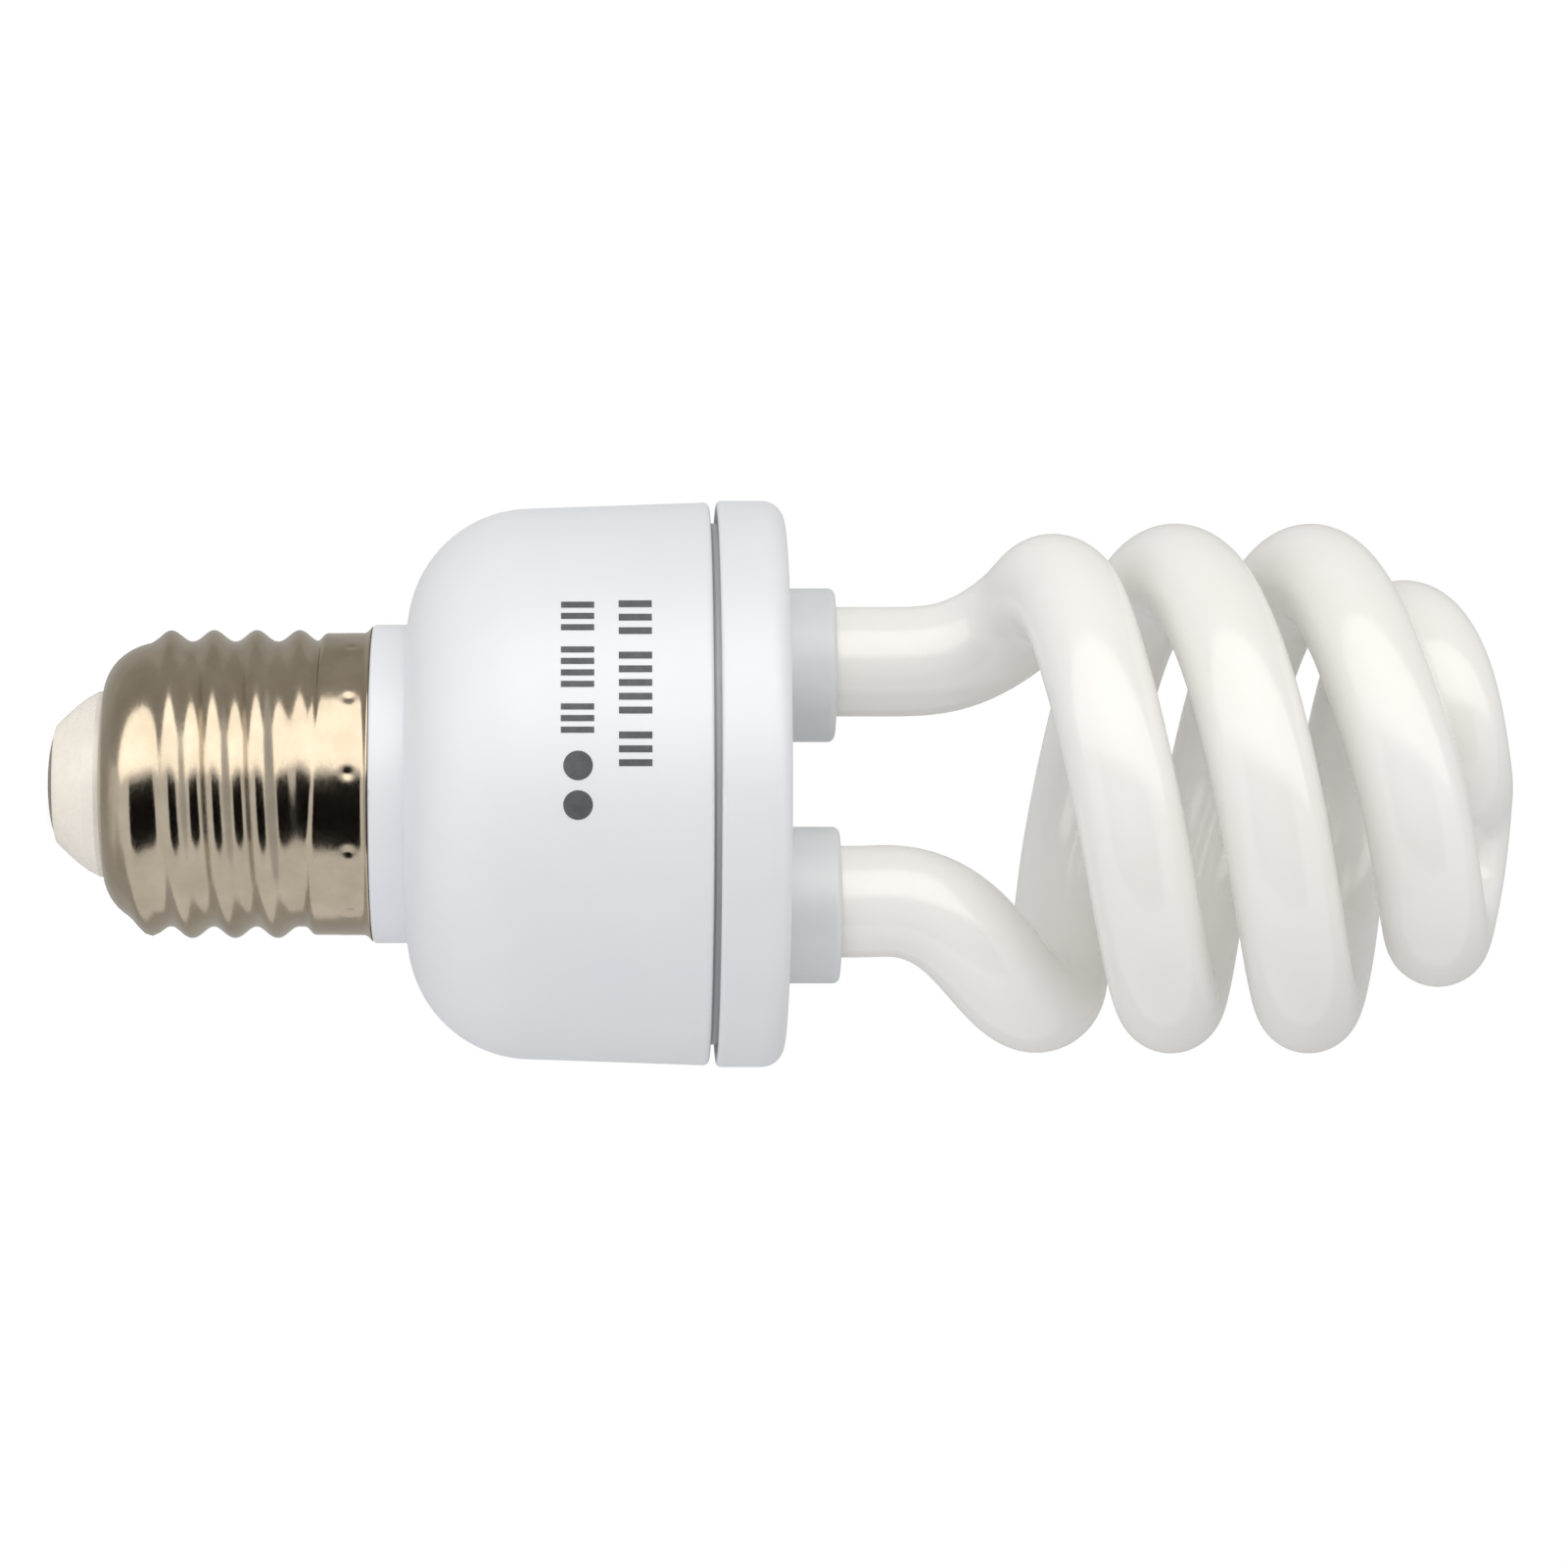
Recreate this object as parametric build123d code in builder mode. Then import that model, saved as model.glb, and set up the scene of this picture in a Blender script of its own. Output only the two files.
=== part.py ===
from build123d import *

# Compact spiral ultraviolet lamp with a 27 mm screw cap.
# Lengths are in millimetres. Z runs along the lamp's axis from the tip of the
# centre contact (z = 0) to the top of the coil. Minus X is the upper side and
# minus Y the near side of the lamp as it lies in the photograph.
import os
from math import asin, atan2, cos, degrees, hypot, pi, radians, sin, sqrt

os.makedirs("parts", exist_ok=True)

# Centre contact, riveted through the insulator
contact_flat_r = 1.5
contact_r = 4.75
contact_h = 0.6
contact_dome = (3.3, 0.22)
contact_floor = 1.0
stem_r = 1.5
stem_clearance = 0.2
lead_r = 0.32
rivet_z = 5.0
rivet_h = 0.35
rivet_edge = 0.5

# Screw cap rolled from thin sheet
sheet = 0.3
root_r = 12.13
crest_r = 13.1
thread_pitch = 3.629
thread_turns = 5
thread_phase_z = 8.58
rib_half = 1.65
rib_root = 0.25
mouth_r = 8.0
mouth_z = 4.45
crown_z = 7.37
crown_round = 2.2
thread_end_z = 21.9
skirt_r = 12.83
skirt_z = 22.7
skirt_round = 0.8
flare_h = 0.75
cap_top_z = 27.5
lip_r = 13.4
dent_count = 12
dent_from_top = 1.6
dent_r = 0.8
dent_depth = 0.35
dent_start = 26.1

# Insulator between contact and cap
insulator_fit = 0.08
insulator_flange_r = 10.9
insulator_flange_z = 8.2

# Ballast housing
neck_r = 13.54
neck_seam = 0.05
spigot_fit = 0.13
spigot_wall = 1.5
spigot_z = 23.7
shoulder_z = 41.0
shoulder_run = 2.0
side_r = 23.4
side_draft = 0.52
rim_z = 56.05
wall = 1.4
snap_depth = 0.25
snap_from_seam = 2.25
snap_half = 0.7
ledge_count = 4
ledge_z = 43.0
ledge_w = 1.4
slot_w = 0.7

# Housing cover, which snaps into the rim by its lip
cover_step = 0.13
seam_w = 0.6
cover_h = 5.75
cover_plate = 1.8
cover_edge = 1.9
lip_fit = 0.22
lip_t = 1.25
lip_h = 3.85

# Tube, with the coil's turn angle counted from the upper side towards the viewer
tube_r = 4.35
leg_r = 4.7
leg_x = 10.2
leg_y = 4.5
leg_foot_round = 1.8
bend_z = 72.0
coil_r = 18.07
coil_pitch = 23.4
coil_mid_z = 95.45
coil_start = 0.45 * pi
cross_z = 120.4
# Each bend point in shares of the way from the leg's top to the coil's start: turn, radius, height
rear_bend = [(0.025, 0.088, 0.259), (0.093, 0.296, 0.491), (0.202, 0.584, 0.656), (0.329, 0.867, 0.740),
             (0.461, 0.981, 0.804), (0.595, 0.981, 0.858), (0.730, 0.968, 0.905), (0.866, 0.980, 0.951)]
front_bend = [(0.022, 0.153, 0.263), (0.094, 0.468, 0.481), (0.200, 0.808, 0.632), (0.320, 1.066, 0.741),
              (0.449, 1.111, 0.820), (0.582, 1.053, 0.873), (0.720, 1.000, 0.914), (0.861, 0.987, 0.953)]
# Half turns, share of the coil's radius, and share of the height from the coil's end to the crossing
rear_close = [(2.25, 0.985, 0.208), (2.5, 0.941, 0.426), (2.75, 0.847, 0.645), (3.0, 0.714, 0.834),
              (3.126, 0.660, 0.940), (3.252, 0.505, 1.0), (3.367, 0.2725, 1.015)]
front_close = [(2.25, 0.980, 0.185), (2.5, 0.935, 0.351), (2.75, 0.863, 0.502), (3.0, 0.769, 0.653),
               (3.124, 0.712, 0.766), (3.248, 0.544, 0.879), (3.369, 0.290, 0.962)]

# Collars and cement round the two tube legs
collar_bore_fit = 0.3
collar_wall = 1.6
collar_h = 4.55
collar_flange_w = 1.2
collar_flange_t = 1.3
collar_edge = 0.6
collar_gap = 0.05
cement_fit = 0.02
cement_w = 1.2
cement_h = 0.7
cement_recess = 0.35
leg_reach = 1.7

# Ballast board
board_fit = 0.4
board_t = 1.55
board_seat = 0.05
pin_r = 0.35
pin_proud = 0.85

# Faces and radii that follow from the sizes above
skirt_in_r = skirt_r - sheet
dent_z = cap_top_z - dent_from_top
spigot_r = skirt_in_r - spigot_fit
bore_r = spigot_r - spigot_wall
shoulder_arc = side_r - bore_r - shoulder_run
neck_z = cap_top_z + neck_seam
rim_r = side_r + side_draft
cover_r = rim_r + cover_step
cover_z = rim_z + seam_w
cover_top_z = cover_z + cover_h
plate_z = cover_top_z - cover_plate
bay_r = side_r - wall
rim_in_r = rim_r - wall - 0.15
lip_out_r = rim_in_r - lip_fit
lip_in_r = lip_out_r - lip_t
lip_low_z = cover_z - lip_h
snap_z = cover_z - snap_from_seam
board_z = lip_low_z - board_seat - board_t
board_top = board_z + board_t
board_r = bay_r - board_fit
pin_top = board_top + pin_proud
collar_bore_r = leg_r + collar_bore_fit
collar_r = collar_bore_r + collar_wall
collar_top_z = cover_top_z + collar_h
collar_flange_r = collar_r + collar_flange_w
collar_flange_z = plate_z - collar_flange_t
leg_foot_z = collar_flange_z - leg_reach
leg_spots = [(-leg_x, leg_y), (leg_x, -leg_y)]
standing = (Align.CENTER, Align.CENTER, Align.MIN)


def turned(points, rounds=(), at=(0, 0)):
    # A solid of revolution about an upright line from a closed outline of (radius, height) points
    with BuildPart(mode=Mode.PRIVATE) as body:
        with BuildSketch(Plane(origin=(*at, 0), x_dir=(1, 0, 0), z_dir=(0, -1, 0))) as outline:
            with BuildLine():
                Polyline(*points, close=True)
            make_face()
            for corner, radius in rounds:
                fillet(outline.vertices().sort_by_distance((*corner, 0))[0], radius)
        revolve(axis=Axis((*at, 0), (0, 0, 1)))
    return body.part


def block(x, y, z, dx, dy, dz, edge=0.0, angle=0.0):
    # A box standing on height z, with its upright edges rounded
    with BuildPart(Plane((x, y, z)).rotated((0, 0, angle)), mode=Mode.PRIVATE) as body:
        Box(dx, dy, dz, align=standing)
        if edge:
            fillet(body.edges().filter_by(Axis.Z), edge)
    return body.part


def rod(x, y, low, high, radius, foot=0.0):
    # A round rod between two heights, with its lower edge rounded
    with BuildPart(Plane((x, y, low)), mode=Mode.PRIVATE) as body:
        Cylinder(radius, high - low, align=standing)
        if foot:
            fillet(body.edges().sort_by(Axis.Z)[0], foot)
    return body.part


def wire(points, radius, bend=1.0):
    # A round wire along straight runs joined by tangent arcs
    with BuildPart(mode=Mode.PRIVATE) as body:
        with BuildLine() as path:
            FilletPolyline(*points, radius=bend)
        line = path.wires()[0]
        with BuildSketch(Plane(origin=line @ 0, z_dir=line % 0)):
            Circle(radius)
        sweep(path=line)
    return body.part


def round_the_axis(radius, angle):
    return (radius * cos(radians(angle)), radius * sin(radians(angle)))


def save(builder, name):
    builder.part.label = name
    export_step(builder.part, f"parts/{name}.step")


# Centre contact: a domed disc with a small flat, riveted through the insulator
with BuildPart() as centre_contact:
    with BuildSketch(Plane.XZ):
        with BuildLine():
            Line((0, 0), (contact_flat_r, 0))
            ThreePointArc((contact_flat_r, 0), contact_dome, (contact_r, contact_h))
            Polyline((contact_r, contact_h), (stem_r, contact_h), (stem_r, rivet_z), (stem_r + rivet_edge, rivet_z),
                     (stem_r + rivet_edge, rivet_z + rivet_h), (lead_r, rivet_z + rivet_h),
                     (lead_r, contact_h + contact_floor), (0, contact_h + contact_floor), (0, 0))
        make_face()
    revolve(axis=Axis.Z)
save(centre_contact, "centre_contact")

# Insulator: the cone between contact and cap, with a flange inside the cap
land_r = contact_r + stem_clearance
throat_r = mouth_r - insulator_fit
inner_r = root_r - sheet
with BuildPart() as cap_insulator:
    add(turned([(stem_r, contact_h), (land_r, contact_h), (land_r + 0.4, contact_h + 0.35), (throat_r - 1.32, 2.3),
                (throat_r - 0.52, mouth_z - 1.1), (throat_r, mouth_z - 0.1), (throat_r, mouth_z + 0.4),
                (insulator_flange_r, insulator_flange_z - 1.24), (insulator_flange_r, insulator_flange_z),
                (insulator_flange_r - 0.9, insulator_flange_z), (throat_r - 0.72, rivet_z + 0.6),
                (stem_r + 3 * rivet_edge, rivet_z), (stem_r, rivet_z)],
               [((land_r, contact_h), 0.2)]))
save(cap_insulator, "cap_insulator")

# Screw cap: thin sheet with a rolled round thread, a plain skirt, a lip and staking dents
thread_depth = crest_r - root_r
flare_z = cap_top_z - flare_h
dent_at = skirt_r + dent_r - dent_depth
rib_low = crown_z + 0.53
rib_high = thread_end_z + 0.1


def thread_rib(shift, low, high):
    # The round thread's rib between two heights, moved in by shift
    base = -shift
    with BuildPart(mode=Mode.PRIVATE) as rib:
        with BuildLine() as path:
            Helix(thread_pitch, thread_turns * thread_pitch, root_r, center=(0, 0, thread_phase_z - thread_pitch))
        line = path.wires()[0]
        with BuildSketch(Plane(origin=line @ 0, x_dir=(1, 0, 0), z_dir=line % 0)):
            with BuildLine():
                Spline((base, -rib_half), (base + thread_depth / 2, -rib_half / 2), (base + thread_depth, 0),
                       (base + thread_depth / 2, rib_half / 2), (base, rib_half),
                       tangents=[(0, 1), (0, 1)], tangent_scalars=[1, 1])
                Polyline((base, rib_half), (base - rib_root, rib_half), (base - rib_root, -rib_half),
                         (base, -rib_half))
            make_face()
        sweep(path=line, is_frenet=True)
        with Locations((0, 0, low)):
            Cylinder(crest_r + 1, high - low, align=standing, mode=Mode.INTERSECT)
    return rib.part


def dent_balls(radius):
    # A ball at each staking dent
    with BuildPart(mode=Mode.PRIVATE) as balls:
        with Locations(*[(*round_the_axis(dent_at, dent_start + 360 * i / dent_count), dent_z)
                         for i in range(dent_count)]):
            Sphere(radius)
    return balls.part


with BuildPart() as dent_bumps:
    add(turned([(skirt_in_r - 1, dent_z - 2 * dent_r), (skirt_in_r + 0.1, dent_z - 2 * dent_r),
                (skirt_in_r + 0.1, dent_z + dent_r), (skirt_in_r - 1, dent_z + dent_r)]))
    add(dent_balls(dent_r + sheet), mode=Mode.INTERSECT)

with BuildPart() as screw_shell:
    add(turned([(0, mouth_z), (mouth_r, mouth_z), (root_r, crown_z), (root_r, thread_end_z), (skirt_r, skirt_z),
                (skirt_r, flare_z), (lip_r, cap_top_z), (0, cap_top_z)],
               [((root_r, crown_z), crown_round), ((root_r, thread_end_z), skirt_round),
                ((skirt_r, skirt_z), skirt_round), ((skirt_r, flare_z), skirt_round)]))
    add(thread_rib(0, rib_low, rib_high))
    add(turned([(0, mouth_z - 1), (mouth_r, mouth_z - 1), (mouth_r, mouth_z + sheet + 0.07),
                (inner_r, crown_z + sheet / 2), (inner_r, thread_end_z + 0.1), (skirt_in_r, skirt_z + 0.1),
                (skirt_in_r, flare_z + 0.1), (lip_r - sheet, cap_top_z), (lip_r - sheet, cap_top_z + 1),
                (0, cap_top_z + 1)],
               [((inner_r, crown_z + sheet / 2), crown_round - sheet), ((inner_r, thread_end_z + 0.1), skirt_round),
                ((skirt_in_r, skirt_z + 0.1), skirt_round), ((skirt_in_r, flare_z + 0.1), skirt_round)]),
        mode=Mode.SUBTRACT)
    add(thread_rib(sheet, rib_low + sheet, rib_high - 0.2), mode=Mode.SUBTRACT)
    add(dent_bumps.part)
    add(dent_balls(dent_r), mode=Mode.SUBTRACT)
save(screw_shell, "screw_shell")

# Housing: one hollow moulding, from the spigot in the cap to the open rim
shoulder_r = side_r - shoulder_arc
turn_out = degrees(asin((neck_r - shoulder_r) / shoulder_arc))
step_z = shoulder_z - sqrt(shoulder_arc ** 2 - (neck_r - shoulder_r) ** 2)
floor_z = shoulder_z - shoulder_arc + wall
snap_r = lip_out_r + 0.18
lead_angle = dent_start - 1.5 * 360 / dent_count
with BuildPart() as ballast_housing:
    with BuildSketch(Plane.XZ) as outline:
        with BuildLine():
            Polyline((bore_r, spigot_z), (spigot_r, spigot_z), (spigot_r, neck_z), (neck_r, neck_z),
                     (neck_r, step_z))
            CenterArc((shoulder_r, shoulder_z), shoulder_arc, turn_out - 90, 90 - turn_out)
            Polyline((side_r, shoulder_z), (rim_r, rim_z), (rim_in_r, rim_z), (snap_r, snap_z + snap_half + 0.1),
                     (snap_r + snap_depth, snap_z), (snap_r, snap_z - snap_half - 0.1), (bay_r, shoulder_z))
            CenterArc((shoulder_r, shoulder_z), shoulder_arc - wall, -90, 90)
            Polyline((shoulder_r, floor_z), (bore_r, floor_z), (bore_r, spigot_z))
        make_face()
        for corner, radius in (((neck_r, neck_z), 0.35), ((rim_r, rim_z), 0.5), ((spigot_r, spigot_z), 0.3),
                               ((bore_r, floor_z), 1.0)):
            fillet(outline.vertices().sort_by_distance((*corner, 0))[0], radius)
    revolve(axis=Axis.Z)
    for i in range(ledge_count):
        angle = 10 + 360 * i / ledge_count
        add(block(*round_the_axis(bay_r - 0.6, angle), ledge_z, 2.0, ledge_w, board_z - ledge_z, angle=angle))
    add(dent_balls(dent_r + sheet + 0.06), mode=Mode.SUBTRACT)
    add(block(*round_the_axis(spigot_r, lead_angle), spigot_z, 1.0, slot_w, 2.3, angle=lead_angle),
        mode=Mode.SUBTRACT)
save(ballast_housing, "ballast_housing")

# Cover: a cap with a snap lip, and two holes for the tube's collars
with BuildPart() as housing_cover:
    add(turned([(0, plate_z), (lip_in_r, plate_z), (lip_in_r, lip_low_z), (lip_out_r, lip_low_z),
                (lip_out_r, snap_z - snap_half + 0.1), (lip_out_r + snap_depth, snap_z),
                (lip_out_r, snap_z + snap_half - 0.1), (lip_out_r, cover_z), (cover_r, cover_z),
                (cover_r, cover_top_z), (0, cover_top_z)],
               [((cover_r, cover_top_z), cover_edge), ((cover_r, cover_z), 0.4)]))
    for x, y in leg_spots:
        add(rod(x, y, plate_z - 1, cover_top_z + 1, collar_r + collar_gap), mode=Mode.SUBTRACT)
save(housing_cover, "housing_cover")

# Collars: one ring round each leg, held under the cover by a flange
collar_outline = [(collar_bore_r, collar_flange_z), (collar_flange_r, collar_flange_z), (collar_flange_r, plate_z),
                  (collar_r, plate_z), (collar_r, collar_top_z), (collar_bore_r, collar_top_z)]
cement_in_r = leg_r + cement_fit
cement_outline = [(cement_in_r, collar_flange_z - cement_h), (leg_r + cement_w, collar_flange_z - cement_h),
                  (leg_r + cement_w + cement_h, collar_flange_z), (collar_bore_r, collar_flange_z),
                  (collar_bore_r, collar_top_z - cement_recess), (cement_in_r, collar_top_z - cement_recess)]
with BuildPart() as rear_tube_collar:
    add(turned(collar_outline, [((collar_r, collar_top_z), collar_edge)], leg_spots[0]))
save(rear_tube_collar, "rear_tube_collar")

with BuildPart() as front_tube_collar:
    add(turned(collar_outline, [((collar_r, collar_top_z), collar_edge)], leg_spots[1]))
save(front_tube_collar, "front_tube_collar")

with BuildPart() as rear_tube_cement:
    add(turned(cement_outline, at=leg_spots[0]))
save(rear_tube_cement, "rear_tube_cement")

with BuildPart() as front_tube_cement:
    add(turned(cement_outline, at=leg_spots[1]))
save(front_tube_cement, "front_tube_cement")

# Tube: two legs, two bends and a double coil that crosses over at its end
leg_turn = atan2(-leg_y, leg_x)
leg_out = hypot(leg_x, leg_y)
coil_start_z = coil_mid_z + coil_pitch * (coil_start - pi) / (2 * pi)
coil_end_z = coil_mid_z + coil_pitch / 2


def polar_point(turn, radius, height, side):
    return (-side * radius * cos(turn), -side * radius * sin(turn), height)


def coil_point(turn, side):
    return polar_point(turn, coil_r, coil_mid_z + coil_pitch * (turn - pi) / (2 * pi), side)


def coil_direction(side):
    return Vector(side * coil_r * sin(coil_start), -side * coil_r * cos(coil_start), coil_pitch / (2 * pi)).normalized()


def bend_points(shares, side):
    return [polar_point(leg_turn + turn * (coil_start - leg_turn), leg_out + out * (coil_r - leg_out),
                        bend_z + rise * (coil_start_z - bend_z), side) for turn, out, rise in shares]


def strand(side, close):
    coil = [coil_point(coil_start + (2 * pi - coil_start) * i / 12, side) for i in range(13)]
    closing = [polar_point(half * pi, out * coil_r, coil_end_z + rise * (cross_z - coil_end_z), side)
               for half, out, rise in close]
    return coil + closing


def tube_run(points, directions, first_r, last_r):
    with BuildPart(mode=Mode.PRIVATE) as run:
        with BuildLine() as path:
            Spline(*points, tangents=directions, tangent_scalars=[1, 1])
        line = path.wires()[0]
        with BuildSketch(Plane(origin=line @ 0, z_dir=line % 0)):
            Circle(first_r)
        if first_r != last_r:
            with BuildSketch(Plane(origin=line @ 1, z_dir=line % 1)):
                Circle(last_r)
        sweep(path=line, multisection=first_r != last_r)
    return run.part


up = (0, 0, 1)
rear_way = coil_direction(1)
front_way = coil_direction(-1)
coil_path = strand(1, rear_close) + [(0, 0, cross_z)] + strand(-1, front_close)[::-1]
rear_path = [(*leg_spots[0], bend_z)] + bend_points(rear_bend, 1) + [coil_point(coil_start, 1)]
front_path = [(*leg_spots[1], bend_z)] + bend_points(front_bend, -1) + [coil_point(coil_start, -1)]
with BuildPart() as spiral_tube:
    add(tube_run(coil_path, [rear_way, -front_way], tube_r, tube_r))
    add(tube_run(rear_path, [up, rear_way], leg_r, tube_r))
    add(tube_run(front_path, [up, front_way], leg_r, tube_r))
    for x, y in leg_spots:
        add(rod(x, y, leg_foot_z, bend_z, leg_r, leg_foot_round))
save(spiral_tube, "spiral_tube")

# Components hang from the board towards the cap, each on its own leads
capacitor_r = 5.0
capacitor_low_z = 29.0
capacitor_top_z = 45.5
capacitor_x = 1.2
capacitor_pins = [(capacitor_x - capacitor_r / 2, 0.0), (capacitor_x + capacitor_r / 2, 0.0)]
choke_x = -13.0
choke_z = 40.4
choke_window = 7.6
choke_limb = 5.2
choke_flange = 0.8
choke_pins = [(choke_x + dx, dy) for dx in (-4.2, 4.2) for dy in (-4.0, 4.0)]
ring_at = (12.5, 9.0)
ring_in_r = 2.6
ring_out_r = 4.5
ring_low = 45.2
ring_high = 49.0
ring_wire = 0.5
ring_pin_r = ring_out_r + 1.1
ring_pins = [(ring_at[0] + x, ring_at[1] + y) for x, y in (round_the_axis(ring_pin_r, a) for a in (70, 190, 310))]
transistor_spots = [(7.0, -14.5), (-3.0, -16.0)]
transistor_h = 10.5
transistor_pitch = 2.3
transistor_pins = [(x + way * transistor_pitch, y) for x, y in transistor_spots for way in (-1, 0, 1)]
film_spots = [(-3.0, 14.5, 7.5, 4.0, 8.5), (15.0, -3.0, 4.5, 10.0, 9.0), (5.2, 16.0, 5.0, 3.5, 7.0)]
film_pins = [(-5.5, 14.5), (-0.5, 14.5), (15.0, -6.5), (15.0, 0.5), (3.7, 16.0), (6.7, 16.0)]
diode_xs = [-5.5, -2.3, 0.9, 4.1]
diode_y = -9.0
diode_reach = 3.9
resistor_xs = [-5.5, -2.5, 0.5]
resistor_y = 8.0
resistor_reach = 3.1
fuse_at = (5.0, 8.0)
fuse_reach = 4.2
contact_lead_at = (-6.6, -2.4)
shell_lead_at = round_the_axis(spigot_r - 4.77, lead_angle)


def barrel(x, y, z, length, radius):
    with BuildPart(Location((x, y, z), (90, 0, 0)), mode=Mode.PRIVATE) as body:
        Cylinder(radius, length)
        fillet(body.edges(), 0.3)
    return body.part


def axial(x, y, length, radius, reach):
    # A small axial body lying along Y, with its two leads bent up into the board
    low = board_z - 0.25 - radius
    with BuildPart(mode=Mode.PRIVATE) as body:
        add(barrel(x, y, low, length, radius))
        for way in (-1, 1):
            add(wire([(x, y + way * (length / 2 - 0.5), low), (x, y + way * reach, low),
                      (x, y + way * reach, pin_top)], pin_r, 0.6))
    return body.part


axial_pins = [(x, diode_y + way * diode_reach) for x in diode_xs for way in (-1, 1)]
axial_pins += [(x, resistor_y + way * resistor_reach) for x in resistor_xs for way in (-1, 1)]
axial_pins += [(fuse_at[0], fuse_at[1] + way * fuse_reach) for way in (-1, 1)]
board_pins = choke_pins + capacitor_pins + ring_pins + transistor_pins + film_pins + axial_pins

with BuildPart() as ballast_board:
    add(rod(0, 0, board_z, board_top, board_r))
    with Locations(*[(x, y, board_z) for x, y in board_pins]):
        Cylinder(pin_r, 3 * board_t, mode=Mode.SUBTRACT)
    with Locations((*contact_lead_at, board_z), (*shell_lead_at, board_z)):
        Cylinder(lead_r, 3 * board_t, mode=Mode.SUBTRACT)
save(ballast_board, "ballast_board")

with BuildPart() as smoothing_capacitor:
    add(turned([(0, capacitor_low_z), (capacitor_r, capacitor_low_z), (capacitor_r, capacitor_top_z - 2.3),
                (capacitor_r - 0.4, capacitor_top_z - 1.9), (capacitor_r, capacitor_top_z - 1.5),
                (capacitor_r, capacitor_top_z), (0, capacitor_top_z)],
               [((capacitor_r, capacitor_low_z), 0.8), ((capacitor_r, capacitor_top_z), 0.6)], (capacitor_x, 0)))
    for x, y in capacitor_pins:
        add(rod(x, y, capacitor_top_z - 0.5, pin_top, pin_r))
save(smoothing_capacitor, "smoothing_capacitor")

choke_top_z = choke_z + choke_window
with BuildPart() as choke_core:
    add(block(choke_x, 0, choke_z - 2.2, 6.0, 15.0, choke_window + 4.4, 0.4))
    for y in (-3.75, 3.75):
        add(block(choke_x, y, choke_z, 8.0, 3.5, choke_window), mode=Mode.SUBTRACT)
save(choke_core, "choke_core")

with BuildPart() as choke_bobbin:
    add(block(choke_x, 0, choke_z, 7.2, choke_limb, choke_window))
    for z in (choke_z, choke_top_z - choke_flange):
        add(block(choke_x, 0, z, 10.0, 10.6, choke_flange, 0.6))
    add(block(choke_x, 0, choke_z - 0.4, 6.0, choke_limb - 1.2, choke_window + 1.4), mode=Mode.SUBTRACT)
    for x, y in choke_pins:
        add(rod(x, y, choke_top_z - choke_flange / 2, pin_top, pin_r))
save(choke_bobbin, "choke_bobbin")

with BuildPart() as choke_winding:
    add(block(choke_x, 0, choke_z + choke_flange, 9.4, 10.2, choke_window - 2 * choke_flange, 1.8))
    add(block(choke_x, 0, choke_z, 7.2, choke_limb, choke_window), mode=Mode.SUBTRACT)
save(choke_winding, "choke_winding")

with BuildPart() as ring_transformer_core:
    add(turned([(ring_in_r, ring_low), (ring_out_r, ring_low), (ring_out_r, ring_high), (ring_in_r, ring_high)],
               [((r, z), 0.5) for r in (ring_in_r, ring_out_r) for z in (ring_low, ring_high)], ring_at))
save(ring_transformer_core, "ring_transformer_core")

coil_rs = (ring_in_r - ring_wire, ring_out_r + ring_wire)
coil_zs = (ring_low - ring_wire, ring_high + ring_wire)
with BuildPart() as ring_transformer_windings:
    add(turned([(coil_rs[0], coil_zs[0]), (coil_rs[1], coil_zs[0]), (coil_rs[1], coil_zs[1]), (coil_rs[0], coil_zs[1])],
               [((r, z), 0.6) for r in coil_rs for z in coil_zs], ring_at))
    add(ring_transformer_core.part, mode=Mode.SUBTRACT)
    for angle in (10, 130, 250):
        x, y = round_the_axis(ring_out_r, angle)
        add(block(ring_at[0] + x, ring_at[1] + y, ring_low - 1, 2 * ring_out_r, 3.6, ring_high - ring_low + 2,
                  angle=angle), mode=Mode.SUBTRACT)
    for angle, spot in zip((70, 190, 310), ring_pins):
        x, y = round_the_axis(ring_out_r + 0.2, angle)
        mid_z = (ring_low + ring_high) / 2
        add(wire([(ring_at[0] + x, ring_at[1] + y, mid_z), (*spot, mid_z), (*spot, pin_top)], pin_r, 0.5))
save(ring_transformer_windings, "ring_transformer_windings")

with BuildPart() as power_transistors:
    for x, y in transistor_spots:
        add(block(x, y, board_z - 2.2 - transistor_h, 7.6, 2.8, transistor_h, 0.3))
        with Locations(Location((x, y, board_z - 0.1 - transistor_h), (90, 0, 0))):
            Cylinder(1.5, 4, mode=Mode.SUBTRACT)
    for x, y in transistor_pins:
        add(rod(x, y, board_z - 2.7, pin_top, pin_r))
save(power_transistors, "power_transistors")

with BuildPart() as film_capacitors:
    for x, y, dx, dy, dz in film_spots:
        add(block(x, y, board_z - 0.7 - dz, dx, dy, dz, 0.7))
    for x, y in film_pins:
        add(rod(x, y, board_z - 1.5, pin_top, pin_r))
save(film_capacitors, "film_capacitors")

with BuildPart() as rectifier_diodes:
    for x in diode_xs:
        add(axial(x, diode_y, 5.0, 1.35, diode_reach))
save(rectifier_diodes, "rectifier_diodes")

with BuildPart() as resistors:
    for x in resistor_xs:
        add(axial(x, resistor_y, 3.8, 1.05, resistor_reach))
save(resistors, "resistors")

with BuildPart() as fusible_resistor:
    add(axial(*fuse_at, 6.0, 1.5, fuse_reach))
save(fusible_resistor, "fusible_resistor")

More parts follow.
